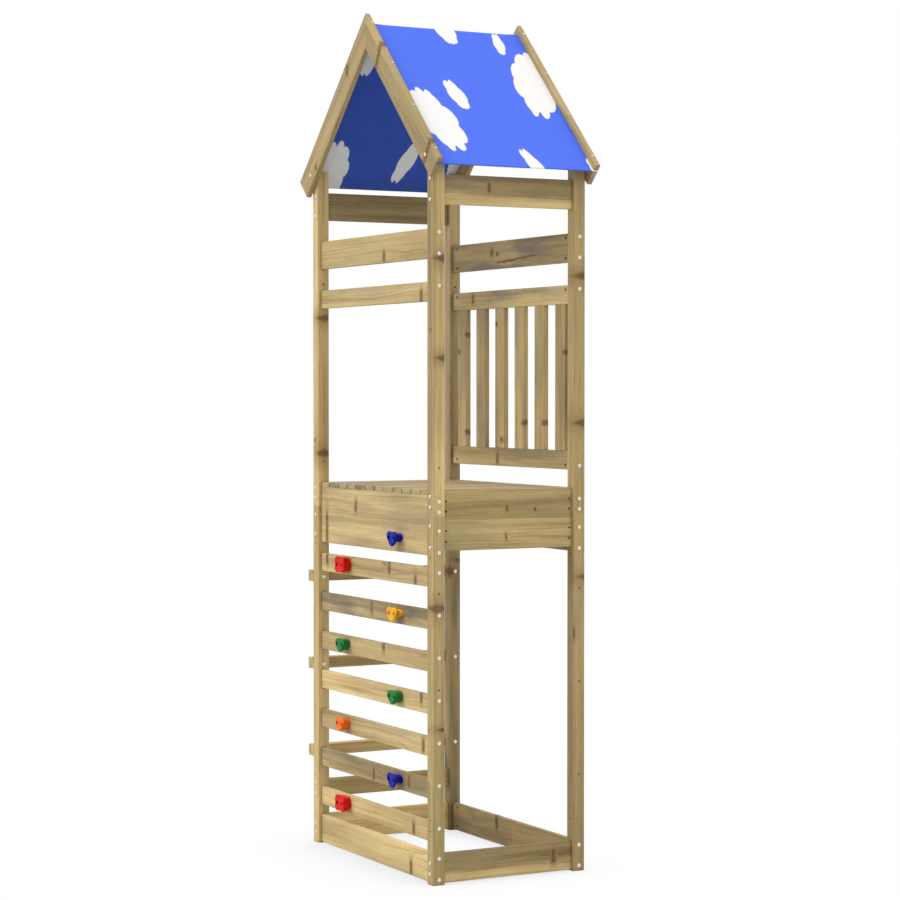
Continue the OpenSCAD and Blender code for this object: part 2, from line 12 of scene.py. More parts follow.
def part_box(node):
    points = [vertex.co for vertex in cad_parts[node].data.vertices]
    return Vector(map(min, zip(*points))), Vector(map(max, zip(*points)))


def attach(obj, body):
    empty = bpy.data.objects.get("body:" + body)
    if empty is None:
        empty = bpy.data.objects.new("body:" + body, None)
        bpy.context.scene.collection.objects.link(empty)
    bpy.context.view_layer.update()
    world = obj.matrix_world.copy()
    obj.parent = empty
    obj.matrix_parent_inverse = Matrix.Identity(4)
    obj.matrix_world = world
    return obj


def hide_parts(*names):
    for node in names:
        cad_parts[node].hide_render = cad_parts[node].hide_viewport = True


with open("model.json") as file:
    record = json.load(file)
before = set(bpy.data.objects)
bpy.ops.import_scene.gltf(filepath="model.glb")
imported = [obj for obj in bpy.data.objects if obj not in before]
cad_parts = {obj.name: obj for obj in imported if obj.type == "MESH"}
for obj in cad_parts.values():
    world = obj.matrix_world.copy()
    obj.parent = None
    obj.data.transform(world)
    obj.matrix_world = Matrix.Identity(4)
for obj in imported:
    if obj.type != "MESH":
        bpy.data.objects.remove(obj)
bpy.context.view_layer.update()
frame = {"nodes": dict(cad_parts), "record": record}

nodes = frame["nodes"]
slot_of = {row["node"]: row["material_slot"] for row in frame["record"]["subparts"]}
MM = 0.001
AXES = "xyz"


# Colours

def linear(r, g, b):
    """Linear colour from the 0 to 255 values that a screen shows."""
    def one(v):
        v /= 255
        return v / 12.92 if v <= 0.04045 else ((v + 0.055) / 1.055) ** 2.4
    return one(r), one(g), one(b), 1.0


WHITE = (1.0, 1.0, 1.0, 1.0)
WOOD_LIGHT = linear(218, 194, 142)
WOOD_MID = linear(203, 177, 124)
WOOD_DARK = linear(172, 145, 96)
WOOD_LATE = linear(148, 118, 71)
WOOD_OLIVE = linear(186, 170, 112)
WOOD_SMOKE = linear(143, 131, 110)
# Dark core of a knot, which also serves as painted shade on the barrel nuts
KNOT_CORE_AND_NUT_SHADE = linear(92, 70, 50)
KNOT_HEART = linear(138, 104, 70)
KNOT_HALO = linear(160, 130, 86)
TARP_BLUE = linear(80, 116, 250)
TARP_BLUE_PALE = linear(84, 120, 252)
TARP_WHITE = linear(250, 250, 252)
# Under side of the tarp: painted light shining through the sheet, with a darker blue and bluish white clouds
UNDER_BLUE_PAINTED_LIGHT = linear(57, 91, 199)
UNDER_WHITE_PAINTED_LIGHT = linear(242, 249, 255)
HOLD_COLOURS = {
    "hold_blue": linear(14, 18, 158),
    "hold_red": linear(226, 24, 14),
    "hold_yellow": linear(252, 184, 40),
    "hold_green": linear(36, 128, 62),
    "hold_orange": linear(255, 118, 38),
}
ZINC = linear(246, 240, 232)
ZINC_DULL = linear(222, 214, 204)
# Painted shade on the barrel nuts, deep in their holes
NUT_PAINTED_SHADE = linear(44, 40, 36)
# Painted shade on the heads of the hold bolts, in the holds' recesses
HEAD_PAINTED_SHADE = linear(56, 52, 48)


# Node trees

class Tree:
    """Writes a node tree. node returns the node that it adds, and the other makers return output sockets."""

    def __init__(self, tree):
        self.tree = tree

    def node(self, kind, inputs=None, **settings):
        made = self.tree.nodes.new(kind)
        for key, value in settings.items():
            setattr(made, key, value)
        self.feed(made, inputs or {})
        return made

    def feed(self, made, inputs):
        """Link the sockets among the inputs, and set the constants."""
        for key, value in inputs.items():
            if isinstance(value, bpy.types.NodeSocket):
                self.tree.links.new(value, made.inputs[key])
            else:
                made.inputs[key].default_value = value

    def place(self, kind="Object"):
        return self.node("ShaderNodeTexCoord").outputs[kind]

    def math(self, operation, a, b=0.0):
        return self.node("ShaderNodeMath", {0: a, 1: b}, operation=operation).outputs[0]

    def times(self, a, b):
        return self.math("MULTIPLY", a, b)

    def vector(self, operation, a, b=(0, 0, 0)):
        made = self.node("ShaderNodeVectorMath", {0: a, 1: b}, operation=operation)
        return made.outputs["Value" if operation in ("LENGTH", "DISTANCE", "DOT_PRODUCT") else "Vector"]

    def split(self, vector):
        return self.node("ShaderNodeSeparateXYZ", {0: vector}).outputs

    def mix(self, factor, a, b, blend="MIX"):
        """Mix of two colours. The node takes colours as its inputs 6 and 7 and gives one as its output 2."""
        made = self.node("ShaderNodeMix", {0: factor, 6: a, 7: b}, data_type="RGBA", blend_type=blend)
        return made.outputs[2]

    def shaded(self, colour, share):
        """The colour times a share."""
        grey = self.node("ShaderNodeCombineXYZ", {0: share, 1: share, 2: share}).outputs[0]
        return self.mix(1.0, colour, grey, "MULTIPLY")

    def smooth(self, value, low, high, to_low=0.0, to_high=1.0):
        return self.node("ShaderNodeMapRange", {0: value, 1: low, 2: high, 3: to_low, 4: to_high},
                         interpolation_type="SMOOTHSTEP").outputs[0]

    def noise(self, vector, scale, detail=2.0, roughness=0.5, output=0):
        return self.node("ShaderNodeTexNoise", {
            "Vector": vector, "Scale": scale, "Detail": detail, "Roughness": roughness}).outputs[output]

    def swing(self, colour, reach):
        """Shift to either side, by the colour of a noise, over this reach along each axis."""
        return self.vector("MULTIPLY", self.vector("SUBTRACT", colour, (0.5, 0.5, 0.5)), reach)

    def bump(self, height, strength, depth):
        return self.node("ShaderNodeBump", {
            "Strength": strength, "Distance": depth, "Height": height}).outputs[0]

    def openness(self, reach, samples):
        """One in the open, and less where other surfaces are within this reach."""
        return self.node("ShaderNodeAmbientOcclusion", {"Distance": reach}, samples=samples).outputs["AO"]


def group_tree(name, inputs, outputs):
    """New node group: its Tree, its input sockets by name, and a function that sets its outputs."""
    group = bpy.data.node_groups.new(name, "ShaderNodeTree")
    for label, kind in inputs.items():
        group.interface.new_socket(label, in_out="INPUT", socket_type="NodeSocket" + kind)
    for label, kind in outputs.items():
        group.interface.new_socket(label, in_out="OUTPUT", socket_type="NodeSocket" + kind)
    tree = Tree(group)
    start = group.nodes.new("NodeGroupInput")
    end = group.nodes.new("NodeGroupOutput")

    def finish(**results):
        tree.feed(end, results)
        return group
    return tree, start.outputs, finish


def material_tree(name):
    """New material: the material, its Tree and its Principled shader."""
    material = bpy.data.materials.new(name)
    material.use_nodes = True
    return material, Tree(material.node_tree), material.node_tree.nodes["Principled BSDF"]


# Meshes and objects

def mesh_of(bm, name):
    """New mesh from a bmesh, which is freed."""
    mesh = bpy.data.meshes.new(name)
    bm.to_mesh(mesh)
    bm.free()
    return mesh


def add(name, data):
    obj = bpy.data.objects.new(name, data)
    bpy.context.scene.collection.objects.link(obj)
    return obj


def applied(obj):
    """The object's mesh with its modifiers applied, in place of the object."""
    bpy.context.view_layer.update()
    mesh = bpy.data.meshes.new_from_object(obj.evaluated_get(bpy.context.evaluated_depsgraph_get()))
    bpy.data.objects.remove(obj)
    return mesh


def fit(mesh, box):
    """Stretch and move a mesh so that it fills a box."""
    columns = list(zip(*(vert.co for vert in mesh.vertices)))
    low = Vector([min(column) for column in columns])
    high = Vector([max(column) for column in columns])
    size = [wanted / own for wanted, own in zip(box[1] - box[0], high - low)]
    mesh.transform(Matrix.Translation(box[0]) @ Matrix.Diagonal((*size, 1)) @ Matrix.Translation(-low))


def give(obj, material):
    obj.data.materials.clear()
    obj.data.materials.append(material)


# Timber: X runs along the grain, and the growth rings go round it

# Noise layers: waves per metre along and across the grain, detail and roughness
Layer = namedtuple("Layer", "along across detail roughness", defaults=(2.0, 0.5))
WANDER = Layer(2.2, 9.0)
LAYERS = {
    "ring_force": Layer(1.4, 34.0),
    "streak": Layer(1.3, 48.0, 4.0, 0.6),
    "blotch": Layer(2.3, 11.0),
    "stain": Layer(3.38, 19.5, 3.0, 0.55),
    "patch": Layer(1.1, 7.0),
    "fibre": Layer(26.0, 900.0, 3.0, 0.65),
    "pore": Layer(9.0, 330.0),
}
# What the layers do: the noise values between which an effect changes, and its strength at each of them
Effect = namedtuple("Effect", "layer low high at_low at_high", defaults=(0.0, 1.0))
EFFECTS = {
    "strong_rings": Effect("ring_force", 0.40, 0.66),
    "mid_streaks": Effect("streak", 0.30, 0.50),
    "light_streaks": Effect("streak", 0.48, 0.72),
    "olive": Effect("blotch", 0.46, 0.72, 0.0, 0.55),
    "smoke": Effect("stain", 0.42, 0.68, 0.25, 1.0),
    "pores": Effect("pore", 0.60, 0.72, 0.0, 0.34),
    "fibre_tone": Effect("fibre", 0.30, 0.70, 0.89, 1.10),
    "patch_tone": Effect("patch", 0.30, 0.70, 0.83, 1.17),
    "knot_heart": Effect("streak", 0.35, 0.65),
    "knot_core": Effect("pore", 0.35, 0.65, 0.88, 0.68),
    "roughness": Effect("fibre", 0.25, 0.75, 0.60, 0.74),
}
RING_SPACING = 8.5 * MM
RING_WANDER = 30 * MM
# A ring darkens towards its outer edge: the power of the rise, and the share of dark colour at the edge
RING_RISE, RING_SHARE = 3.6, 0.72
# How far a knot's halo pushes the rings out, and the halo's share of its own colour
HALO_PUSH, HALO_SHARE = 10 * MM, 0.55
# Relief of the fibres and of the rings' edges, and how much smoother those edges are
FIBRE_RELIEF, RING_RELIEF, RING_POLISH = 0.5, 0.25, 0.05


def layer(tree, kind, place, output=0):
    """One noise layer, stretched along the grain."""
    stretched = tree.vector("MULTIPLY", place, (kind.along, kind.across, kind.across))
    return tree.noise(stretched, 1.0, kind.detail, kind.roughness, output)


def ring_edges(tree, grain, halo, force):
    """Dark outer edges of the growth rings, which bend round a knot."""
    from_pith = tree.vector("LENGTH", tree.vector("MULTIPLY", grain, (0.0, 1.0, 1.0)))
    radius = tree.math("ADD", from_pith, tree.times(halo, HALO_PUSH))
    turn = tree.math("FRACT", tree.math("DIVIDE", radius, RING_SPACING))
    return tree.times(tree.math("POWER", turn, RING_RISE), force)


def timber_group():
    """Colour, roughness and height of timber, from the place in its grain, its tone and its knots."""
    tree, given, finish = group_tree(
        "timber",
        {"Grain": "Vector", "Tone": "Float", "Smoke": "Float", "Heart": "Float", "Core": "Float",
         "Halo": "Float"},
        {"Color": "Color", "Roughness": "Float", "Height": "Float"})

    # The grain wanders along the board, and every layer with it
    wander = layer(tree, WANDER, given["Grain"], "Color")
    grain = tree.vector("ADD", given["Grain"], tree.swing(wander, (0.0, RING_WANDER, RING_WANDER)))
    layers = {name: layer(tree, kind, grain) for name, kind in LAYERS.items()}

    def effect(name):
        kind, *steps = EFFECTS[name]
        return tree.smooth(layers[kind], *steps)

    # Streaks, blotches, grey stain, rings and pores, then the board's tone, then its knots
    ring = ring_edges(tree, grain, given["Halo"], effect("strong_rings"))
    colour = tree.mix(effect("mid_streaks"), WOOD_DARK, WOOD_MID)
    colour = tree.mix(effect("light_streaks"), colour, WOOD_LIGHT)
    colour = tree.mix(effect("olive"), colour, WOOD_OLIVE)
    colour = tree.mix(tree.times(effect("smoke"), given["Smoke"]), colour, WOOD_SMOKE)
    colour = tree.mix(tree.times(ring, RING_SHARE), colour, WOOD_LATE)
    colour = tree.mix(effect("pores"), colour, WOOD_LATE)
    tone = tree.times(tree.times(given["Tone"], effect("fibre_tone")), effect("patch_tone"))
    colour = tree.shaded(colour, tone)
    colour = tree.mix(tree.times(given["Halo"], HALO_SHARE), colour, KNOT_HALO)
    knot = tree.mix(tree.times(given["Heart"], effect("knot_heart")), KNOT_CORE_AND_NUT_SHADE, KNOT_HEART)
    colour = tree.mix(tree.times(given["Core"], effect("knot_core")), colour, knot)

    roughness = tree.math("SUBTRACT", effect("roughness"), tree.times(ring, RING_POLISH))
    height = tree.math("ADD", tree.times(layers["fibre"], FIBRE_RELIEF), tree.times(ring, RING_RELIEF))
    return finish(Color=colour, Roughness=roughness, Height=height)


TIMBER = timber_group()

# Turns that bring each grain direction on to X, two of them along the roof's slopes
SLOPE = math.radians(45)
TO_GRAIN = {
    "x": (0, 0, 0),
    "y": (0, 0, -math.pi / 2),
    "z": (0, math.pi / 2, 0),
    "slope_right": (0, -SLOPE, 0),
    "slope_left": (0, SLOPE, 0),
}
post_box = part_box("post_front_left_lower")
POST_HALF = (post_box[1].x - post_box[0].x) / 2
# Distance of the pith from a board's middle, along each axis
PITH_AWAY = (12 * MM, 50 * MM)
# Lengths over which the grain may start anew, from board to board and within a row of boards
GRAIN_STARTS, ROW_SHIFT = 20, 3.0
WOOD_BUMP, WOOD_BUMP_DEPTH = 0.35, 0.6 * MM
WOOD_SPECULAR = 0.25
# Painted shade lies in holes and along seams, as far out as this from other surfaces, and darkens them to
# this share
SEAM_REACH, SEAM_SHADE = 10 * MM, 0.35
# Openness at which the painted shade is darkest and at which it ends
SEAM_FADE, SEAM_SAMPLES = (0.15, 0.95), 6
# Waves per metre along the edge of the sapwood, their swing, and the blur of that edge
SAPWOOD_WAVES, SAPWOOD_SWING, SAPWOOD_BLUR = 6.0, 40 * MM, 7 * MM
# Waves per metre of a knot's uneven edge, their detail and their swing
KNOT_WAVES, KNOT_DETAIL, KNOT_SWING = 75.0, 3.0, 12 * MM
# Distances from a knot's middle, in half sizes, between which its heart, dark core and pale halo fade out
KNOT_FADES = ((0.0, 0.55), (0.35, 1.45), (0.8, 5.0))

# A knot's centre, where None is the board's middle; its half sizes; its shift from there; if it is pointed
Knot = namedtuple("Knot", "centre half shift pointed", defaults=((0, 0, 0), False))
# A row of boards in one node: its axis, the pitch and start of the boards, and the spread of their tones
Row = namedtuple("Row", "axis pitch start spread")
# The share of a board's height that is pale, and the tones below and above that level
Sapwood = namedtuple("Sapwood", "share below above")


def knot_masks(tree, place, knots):
    """Heart, dark core and pale halo of a board's own knots."""
    masks = [0.0 for _ in KNOT_FADES]
    if not knots:
        return masks
    wobble = tree.noise(place, KNOT_WAVES, KNOT_DETAIL, output="Color")
    uneven = tree.vector("ADD", place, tree.swing(wobble, (KNOT_SWING, KNOT_SWING, KNOT_SWING)))
    for knot in knots:
        away = tree.vector("DIVIDE", tree.vector("SUBTRACT", uneven, knot.centre), knot.half)
        if knot.pointed:
            distance = tree.vector("DOT_PRODUCT", tree.vector("ABSOLUTE", away), (1.0, 1.0, 1.0))
        else:
            distance = tree.vector("LENGTH", tree.vector("MULTIPLY", away, away))
        masks = [tree.math("MAXIMUM", mask, tree.smooth(distance, *fade, 1.0, 0.0))
                 for mask, fade in zip(masks, KNOT_FADES)]
    return masks


def post_tone_and_side_light(tree, place, centre, tones):
    """Tone that changes from a post's front to its right side, partly the timber's own tone and partly
    painted light and shade on each side.
    """
    across = tree.vector("DOT_PRODUCT", tree.vector("SUBTRACT", place, centre), (1.0, 1.0, 0.0))
    return tree.smooth(across, -POST_HALF, POST_HALF, *tones)


def row_shift_and_tone(tree, place, row, tone):
    """Shift of the grain and tone, by chance, of each board in a row."""
    from_start = tree.math("SUBTRACT", tree.split(place)[AXES.index(row.axis)], row.start)
    index = tree.math("FLOOR", tree.math("DIVIDE", from_start, row.pitch))
    chance = tree.node("ShaderNodeTexWhiteNoise", {"W": index}, noise_dimensions="1D").outputs
    shift = tree.vector("MULTIPLY", chance["Color"], (ROW_SHIFT, ROW_SHIFT, ROW_SHIFT))
    return shift, tree.smooth(chance["Value"], 0.0, 1.0, tone * (1 - row.spread), tone * (1 + row.spread))


def sapwood_tone(tree, place, box, sapwood):
    """Tone below and above the uneven edge of the sapwood."""
    level = box[0].z + sapwood.share * (box[1].z - box[0].z)
    wave = tree.math("SUBTRACT", tree.noise(place, SAPWOOD_WAVES), 0.5)
    height = tree.math("ADD", tree.split(place)[2], tree.times(wave, SAPWOOD_SWING))
    return tree.smooth(height, level - SAPWOOD_BLUR, level + SAPWOOD_BLUR, sapwood.below, sapwood.above)


def timber(name, grain, box, knots, tone, smoke, row=None, sapwood=None):
    """Timber material of one node. On a post, tone is a pair: at its front and at its right side, partly
    painted light and shade on each side.
    """
    rng = random.Random(name)
    material, tree, shader = material_tree("timber_" + name)
    place = tree.place()
    centre = (box[0] + box[1]) / 2
    pith = Vector([rng.uniform(*PITH_AWAY) * rng.choice((-1, 1)) for _ in AXES])
    local = tree.vector("SUBTRACT", place, centre + pith)
    if isinstance(tone, tuple):
        tone = post_tone_and_side_light(tree, place, centre, tone)
    if row:
        shift, tone = row_shift_and_tone(tree, place, row, tone)
        local = tree.vector("ADD", local, shift)
    if sapwood:
        tone = tree.times(tone, sapwood_tone(tree, place, box, sapwood))
    turned = tree.node("ShaderNodeVectorRotate", {"Vector": local, "Rotation": TO_GRAIN[grain]},
                       rotation_type="EULER_XYZ").outputs[0]
    along = tree.vector("ADD", turned, (rng.uniform(0, GRAIN_STARTS), 0.0, 0.0))
    heart, core, halo = knot_masks(tree, place, knots)
    board = tree.node("ShaderNodeGroup", {
        "Grain": along, "Tone": tone, "Smoke": smoke, "Heart": heart, "Core": core, "Halo": halo},
        node_tree=TIMBER).outputs
    # Painted shade: the colour darkens in holes and along seams, where other surfaces are near
    painted_seam_shade = tree.smooth(tree.openness(SEAM_REACH, SEAM_SAMPLES), *SEAM_FADE, SEAM_SHADE, 1.0)
    tree.feed(shader, {
        "Base Color": tree.shaded(board["Color"], painted_seam_shade),
        "Roughness": board["Roughness"],
        "Normal": tree.bump(board["Height"], WOOD_BUMP, WOOD_BUMP_DEPTH),
        "Specular IOR Level": WOOD_SPECULAR})
    return material


# Knots of each board, where the photo shows them

# Half size of a knot through its board, half width of a bar, and half sizes of a spot
KNOT_THROUGH, BAR_HALF, SPOT_HALF, SPOT_TALL = 40 * MM, 9 * MM, 11 * MM, 8 * MM


def bar_x(x, z, tall):
    """Knot that crosses a board along X as a narrow upright bar."""
    return Knot((x, None, z), (BAR_HALF, KNOT_THROUGH, tall))


def bar_y(y, z, tall, half=0.008):
    """The same on a board along Y."""
    return Knot((None, y, z), (KNOT_THROUGH, half, tall))


def spot(x, z):
    """Small round knot on a slat."""
    return Knot((x, None, z), (SPOT_HALF, KNOT_THROUGH, SPOT_TALL))


def wedge(z, side_x, side_y, reach, tall):
    """Knot that enters a post at a side or corner and narrows inwards."""
    return Knot((None, None, z), (reach, reach, tall), (side_x * POST_HALF, side_y * POST_HALF, 0), True)


def speck(z, side_x, side_y, half=0.005, tall=0.006):
    """Small knot or check on the face of a post."""
    return Knot((None, None, z), (half, half, tall), (side_x * POST_HALF, side_y * POST_HALF, 0))


def slanted(top, end, half=0.009, count=6, flat=1.3):
    """Knot that crosses a timber at a slant, as a row of overlapping spots."""
    spots = [tuple(a + (b - a) * k / (count - 1) for a, b in zip(top, end)) for k in range(count)]
    return [Knot((x, None, z), (half, KNOT_THROUGH, half * flat)) for x, z in spots]


KNOTS = {
    "front_wide_rail": [bar_x(0.08, 2.08, 0.018)],
    "front_narrow_rail": [bar_x(0.355, 1.935, 0.024)],
    "front_deck_panel": [bar_x(-0.374, 1.136, 0.058), bar_x(-0.139, 1.222, 0.020)],
    "climbing_plank_1": [bar_x(0.120, 1.026, 0.022), bar_x(0.313, 0.992, 0.020),
                         bar_x(-0.372, 1.024, 0.020)],
    "climbing_plank_2": [bar_x(-0.015, 0.88, 0.022)],
    "climbing_plank_3": [bar_x(0.075, 0.755, 0.020)],
    "climbing_plank_4": [bar_x(0.355, 0.61, 0.020)],
    "climbing_plank_5": [bar_x(0.37, 0.45, 0.024)],
    "climbing_plank_6": [bar_x(0.0, 0.305, 0.024), bar_x(0.265, 0.315, 0.022)],
    "climbing_plank_7": [bar_x(0.30, 0.165, 0.020)],
    "front_bottom_board": [bar_x(0.28, 0.03, 0.026)],
    "right_top_board": [bar_y(-0.073, 2.294, 0.014, 0.005)],
    "right_deck_panel": [bar_y(-0.005, 1.232, 0.010, 0.005), bar_y(0.103, 1.229, 0.005, 0.004),
                         bar_y(-0.008, 1.139, 0.010, 0.003)],
    "right_bottom_board": [bar_y(0.175, 0.056, 0.024)],
    "back_bottom_board": [bar_x(-0.09, 0.08, 0.026)],
    "back_wide_rail": [bar_x(-0.127, 2.117, 0.012), bar_x(-0.086, 2.111, 0.006),
                       *slanted((-0.06, 2.081), (0.16, 2.094), 0.030, 8, 0.09)],
    "balustrade_top_rail": [bar_x(-0.267, 1.958, 0.016)],
    "balustrade_lower_rail": [bar_x(-0.085, 1.385, 0.020)],
    "balustrade_slats": [spot(0.100, 1.513), spot(0.240, 1.514), spot(-0.096, 1.862), spot(-0.053, 1.451),
                         spot(-0.374, 1.767), spot(-0.316, 1.828), spot(-0.316, 1.474), spot(0.380, 1.756)],
    "post_back_right_upper": [wedge(2.011, 1, 1, 0.062, 0.016), wedge(1.516, 1, 1, 0.058, 0.016)],
    "post_back_right_lower": [wedge(0.996, 1, 1, 0.036, 0.013), speck(0.807, 1, -0.9, 0.003, 0.016)],
    "post_front_right_upper": [wedge(2.057, 1, 0.8, 0.048, 0.015), wedge(1.731, 1, 0.8, 0.040, 0.012),
                               speck(1.822, 0, -1)],
    "post_front_right_lower": [wedge(0.911, 1, -0.4, 0.070, 0.016), wedge(0.512, 1, 0.9, 0.036, 0.008)],
    "post_front_left_upper": [wedge(1.885, 1, 0.2, 0.048, 0.014), wedge(1.401, 1, 0.2, 0.048, 0.017),
                              speck(1.448, -0.3, -1)],
    "post_back_left_lower": [wedge(0.958, 0.8, -1, 0.034, 0.026), wedge(1.0, 1, 1, 0.040, 0.010)],
    "rafter_front_right": [*slanted((0.118, 2.794), (0.082, 2.721)),
                           *slanted((0.475, 2.434), (0.430, 2.367))],
    "rafter_front_left": [*slanted((-0.143, 2.741), (-0.143, 2.730), 0.010, 2),
                          *slanted((-0.399, 2.422), (-0.399, 2.416), 0.006, 2)],
}


def seated_knots(name, box):
    """A board's knots, with the open coordinates at the board's middle."""
    middle = (box[0] + box[1]) / 2
    seated = []
    for knot in KNOTS.get(name, ()):
        centre = [(m if c is None else c) + d for c, m, d in zip(knot.centre, middle, knot.shift)]
        seated.append(knot._replace(centre=centre))
    return seated


# Tones and stain of each board

# Boards that are darker or paler than the rest. A post has a pair: at its front and at its right side, partly
# painted light and shade on each side
TONES = {
    "front_deck_panel": 1.03, "front_wide_rail": 0.85, "front_narrow_rail": 0.95, "front_bottom_board": 1.24,
    "climbing_plank_1": 1.06, "climbing_plank_2": 0.72, "climbing_plank_3": 0.88, "climbing_plank_4": 1.24,
    "climbing_plank_5": 1.08, "climbing_plank_6": 0.80, "climbing_plank_7": 1.11,
    "right_top_board": 0.93, "right_bottom_board": 0.84, "right_deck_panel": 1.01,
    "back_wide_rail": 1.03, "back_bottom_board": 1.02,
    "balustrade_top_rail": 1.22, "balustrade_lower_rail": 0.95,
    "left_top_board": 0.78, "left_bottom_board": 1.70, "deck_slats": 0.92,
    "rafter_front_right": 0.73, "rafter_front_left": 0.80, "batten_front_right": 0.81,
    "rafter_back_right": 0.84, "rafter_back_left": 0.82, "batten_back_right": 0.94,
    "post_front_right_upper": (0.77, 1.46), "post_front_right_lower": (0.78, 0.94),
    "post_front_left_upper": (1.22, 1.30), "post_front_left_lower": (1.08, 1.10),
    "post_back_right_upper": (0.95, 0.88), "post_back_right_lower": (0.95, 0.98),
    "post_back_left_upper": (1.12, 1.02), "post_back_left_lower": (1.02, 0.92),
}
# Boards that are greyer than the rest
SMOKES = {
    "climbing_plank_2": 0.9, "climbing_plank_6": 0.7, "back_wide_rail": 1.0, "back_bottom_board": 0.8,
    "balustrade_slats": 0.6, "balustrade_top_rail": 0.9, "balustrade_lower_rail": 0.7, "deck_slats": 1.0,
    "post_back_left_lower": 1.0, "post_back_left_upper": 0.7,
}
# Ranges of tone and stain of all other boards
PLAIN_TONES, PLAIN_SMOKES = (0.95, 1.05), (0.15, 0.45)
# Boards with pale sapwood along the lower edge
SAPWOOD = {
    "right_bottom_board": Sapwood(0.38, 1.42, 0.90),
    "right_top_board": Sapwood(0.36, 1.38, 0.99),
    "climbing_plank_2": Sapwood(0.44, 1.34, 0.82),
    "climbing_plank_6": Sapwood(0.30, 1.22, 0.92),
}
# Slats of one node, as their count and width, and the spread of tone between them
SLAT_ROWS = {"deck_slats": (12, 65 * MM, 0.09), "balustrade_slats": (6, 67 * MM, 0.09)}
# A deck panel is glued up from two boards, which differ less
LAMELLAS, LAMELLA_SPREAD = 2, 0.03


def grain_of(name):
    """Direction of the grain of a timber node."""
    if name.startswith("post_") or name == "balustrade_slats":
        return "z"
    if name.startswith(("rafter", "batten")):
        return "slope_right" if name.endswith("right") else "slope_left"
    if name.startswith(("left_", "right_", "ladder_rung")) or name == "deck_slats":
        return "y"
    return "x"


def row_in(name, box):
    """The row of boards that a node shows, else nothing."""
    if name.endswith("deck_panel"):
        return Row("z", (box[1].z - box[0].z) / LAMELLAS, box[0].z, LAMELLA_SPREAD)
    if name not in SLAT_ROWS:
        return None
    count, slat_w, spread = SLAT_ROWS[name]
    pitch = (box[1].x - box[0].x - slat_w) / (count - 1)
    return Row("x", pitch, box[0].x + slat_w / 2 - pitch / 2, spread)


def finish_timber():
    """Timber on every wooden node. A batten is cut from the same board as its rafter, so the knots run on."""
    for name, obj in nodes.items():
        if not slot_of[name].endswith("timber"):
            continue
        board = name.replace("batten", "rafter")
        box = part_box(board)
        rng = random.Random("tone " + board)
        tone = TONES.get(name, TONES.get(board, rng.uniform(*PLAIN_TONES)))
        smoke = SMOKES.get(board, rng.uniform(*PLAIN_SMOKES))
        give(obj, timber(name, grain_of(name), box, seated_knots(board, box), tone, smoke,
                         row_in(name, box), SAPWOOD.get(name)))


# Metal

# Spots per metre, and the detail of their noise
ZINC_SPOTS, ZINC_DETAIL = 900.0, 3.0
# Noise values between which the zinc turns dull, and values with the roughness at each
ZINC_DULLING = (0.35, 0.70)
ZINC_ROUGHNESS = (0.30, 0.70, 0.30, 0.46)
# Metallic of the zinc, and the lower metallic of the barrel nuts under painted shade
METALLIC, METALLIC_IN_PAINTED_SHADE = 0.9, 0.5


def metal(name, bright, dull, metallic, sunk=None):
    """Plated metal. sunk is a pair of y: in front of the first it is painted dark as shade, and behind the
    second bright.
    """
    material, tree, shader = material_tree(name)
    place = tree.place()
    spots = tree.noise(place, ZINC_SPOTS, ZINC_DETAIL)
    colour = tree.mix(tree.smooth(spots, *ZINC_DULLING), bright, dull)
    if sunk:
        # Painted shade in front of the first y, where the heads of the hold bolts sit in their recesses
        colour = tree.mix(tree.smooth(tree.split(place)[1], *sunk), HEAD_PAINTED_SHADE, colour)
    tree.feed(shader, {
        "Base Color": colour, "Metallic": metallic, "Roughness": tree.smooth(spots, *ZINC_ROUGHNESS)})
    return material


def finish_metal():
    """Zinc on every fastener, with painted shade on the barrel nuts and on the sunk heads of the hold bolts.
    """
    zinc = metal("zinc_steel", ZINC, ZINC_DULL, METALLIC)
    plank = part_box("climbing_plank_1")
    special = {
        # The barrel nuts get painted shade: a dark colour and less metal, for the shade of their holes
        "barrel_nuts": metal("zinc_in_the_dark", NUT_PAINTED_SHADE, KNOT_CORE_AND_NUT_SHADE, METALLIC_IN_PAINTED_SHADE),
        "hold_bolts": metal("zinc_bolts", ZINC, ZINC_DULL, METALLIC, (plank[0].y, plank[1].y)),
    }
    for name, slot in slot_of.items():
        if slot == "zinc_steel":
            give(nodes[name], special.get(name, zinc))


# Climbing holds

# Waves per metre of the grit and of the cloudy colour, and how dark that gets
GRIT_WAVES, CLOUDY_WAVES, CLOUDY_SHADE = 1500.0, 60.0, 0.82
# Noise values between which the colour changes, and values with the roughness at each
HOLD_CLOUDING = (0.35, 0.70)
HOLD_ROUGHNESS = (0.30, 0.70, 0.34, 0.46)
HOLD_BUMP, HOLD_BUMP_DEPTH = 0.25, 0.3 * MM
HOLD_SPECULAR = 0.10


def plastic(slot):
    """Moulded plastic in the colour of a slot, with a fine grit."""
    material, tree, shader = material_tree(slot)
    place = tree.place()
    grit = tree.noise(place, GRIT_WAVES)
    cloudy = tree.smooth(tree.noise(place, CLOUDY_WAVES), *HOLD_CLOUDING)
    colour = HOLD_COLOURS[slot]
    darker = [c * CLOUDY_SHADE for c in colour[:3]] + [1.0]
    tree.feed(shader, {
        "Base Color": tree.mix(cloudy, darker, colour),
        "Roughness": tree.smooth(grit, *HOLD_ROUGHNESS),
        "Normal": tree.bump(grit, HOLD_BUMP, HOLD_BUMP_DEPTH),
        "Specular IOR Level": HOLD_SPECULAR})
    return material


# Size of a hold before it is fitted to its node's box
HOLD_W, HOLD_H, HOLD_DEPTH = 72 * MM, 57 * MM, 32 * MM
# Bolts: their distance, the radius of the bore, and the radius and depth of the recess for the head
HOLD_BOLT_GAP, HOLD_BORE, HOLD_RECESS, HOLD_RECESS_DEPTH = 38 * MM, 4.2 * MM, 6.7 * MM, 12 * MM
CUT_OVERRUN, BORE_SEGMENTS = 2 * MM, 48
